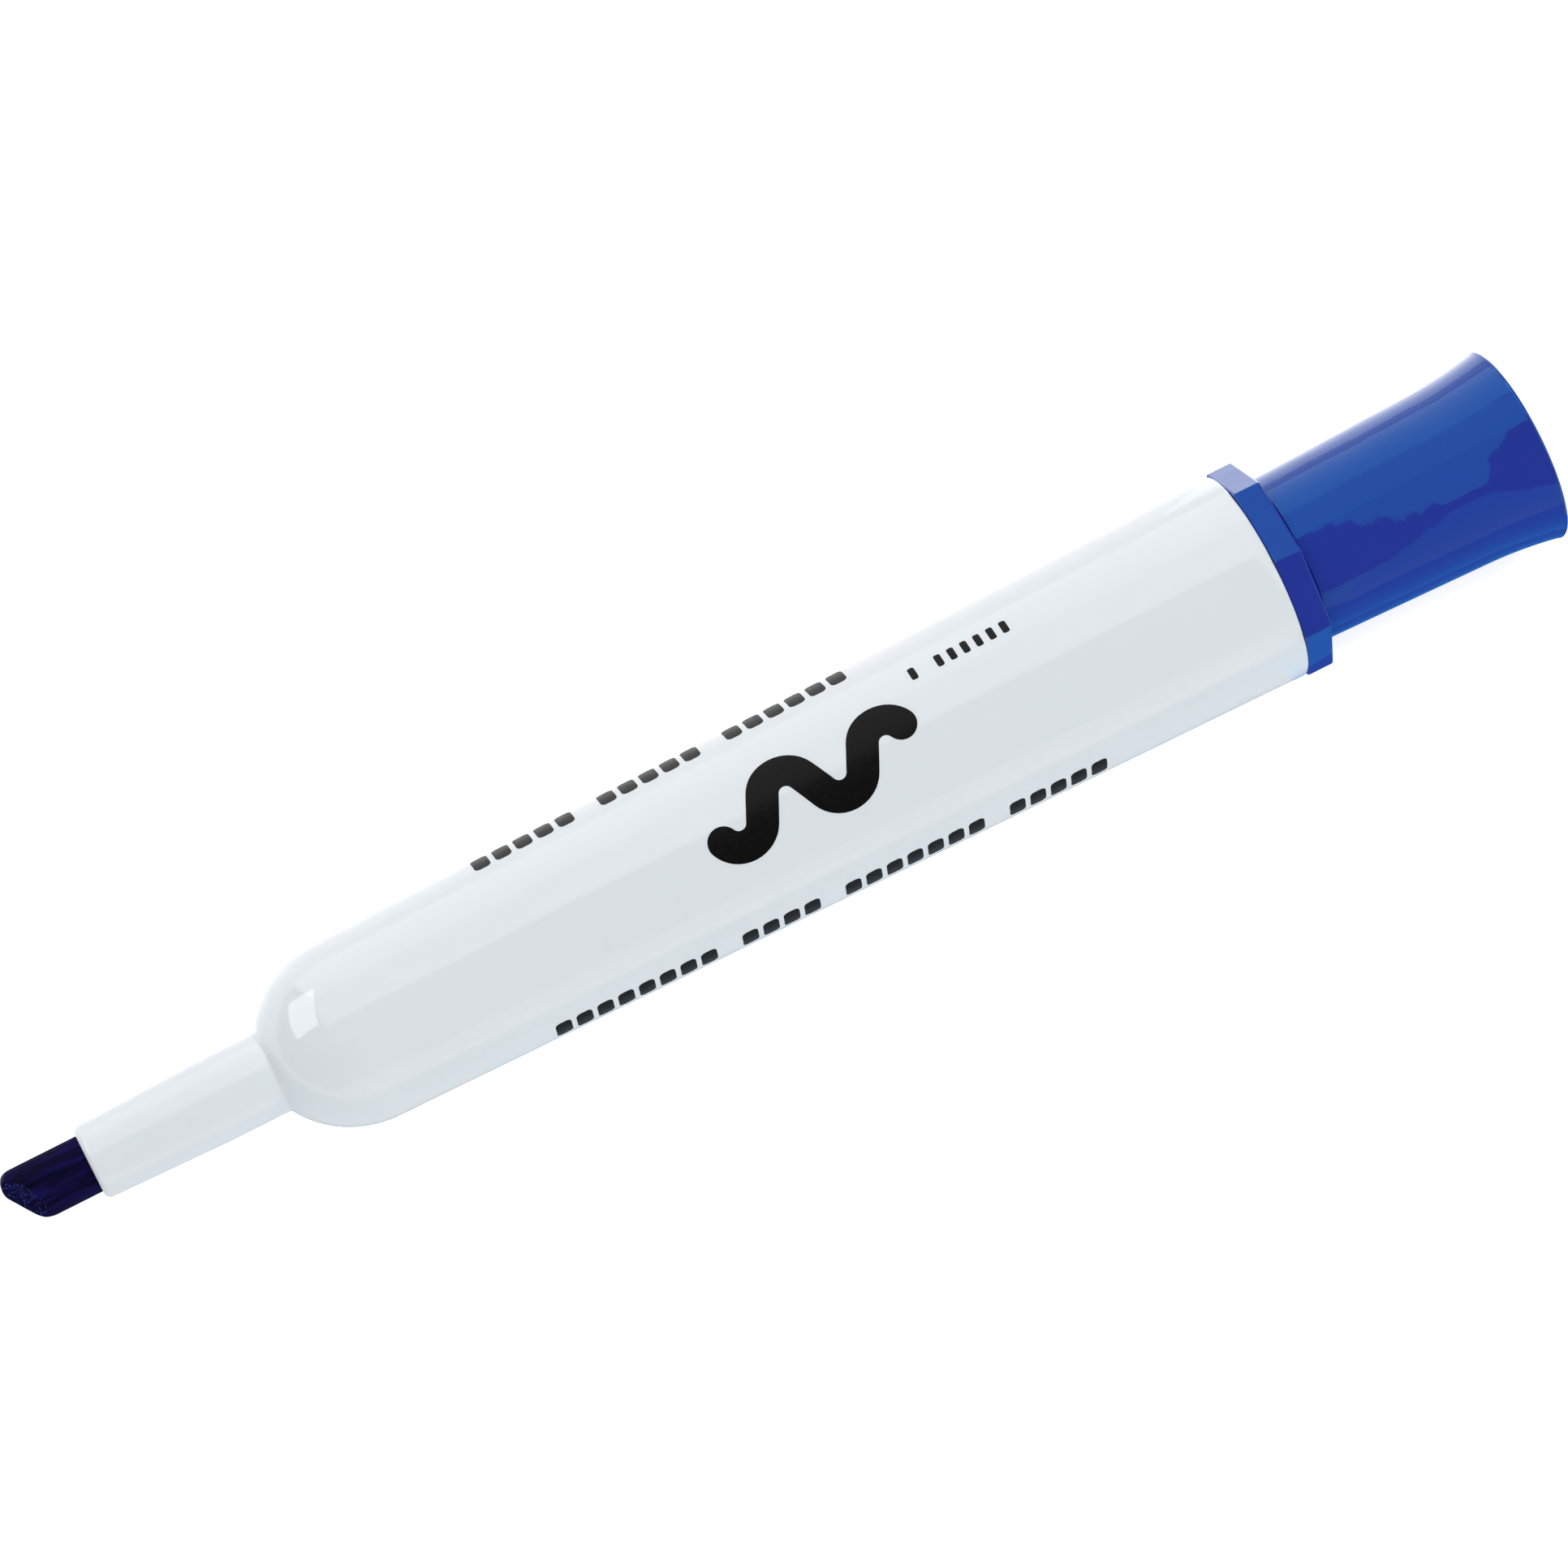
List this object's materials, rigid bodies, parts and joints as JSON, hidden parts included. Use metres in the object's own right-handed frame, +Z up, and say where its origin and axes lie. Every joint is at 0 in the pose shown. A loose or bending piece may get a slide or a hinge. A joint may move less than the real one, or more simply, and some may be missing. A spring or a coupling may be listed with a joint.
{
  "type": "whiteboard marker",
  "caption": "Chisel-tip whiteboard marker: tapered white barrel with a rounded shoulder and slim neck, and a flared blue cap posted on its rear.",
  "frame": {"origin": "under the middle of the marker's length, on the surface that its rear rim lies on", "axes": "+X along the marker's axis, from the nib to the cap's closed end; +Z up, with the marker on its side and its axis level"},
  "size_m": [0.135, 0.0176, 0.0177],
  "materials": {
    "barrel_plastic": "white, glossy",
    "nib_fibre": "pressed fibre soaked in dark blue ink",
    "reservoir_fibre": "bundled fibre soaked in blue ink",
    "sleeve_film": "thin clear film",
    "cap_plastic": "blue, glossy",
    "liner_plastic": "milky, satin"
  },
  "bodies": {
    "barrel": {"barrel": "barrel_plastic", "nib": "nib_fibre", "reservoir_fibre": "reservoir_fibre", "reservoir_film": "sleeve_film", "rear_plug": "cap_plastic"},
    "cap_liner": {"cap_liner": "liner_plastic"},
    "cap": {"cap_shell": "cap_plastic"}
  },
  "joints": [
    {"name": "cap_pull", "type": "slide", "parent": "barrel", "child": "cap_liner", "axis": [1, 0, 0], "range_m": [0, 0.03]},
    {"name": "cap_twist", "type": "hinge", "parent": "cap_liner", "child": "cap", "pos_m": [0.0555, 0, 0.00885], "axis": [1, 0, 0], "continuous": true}
  ]
}
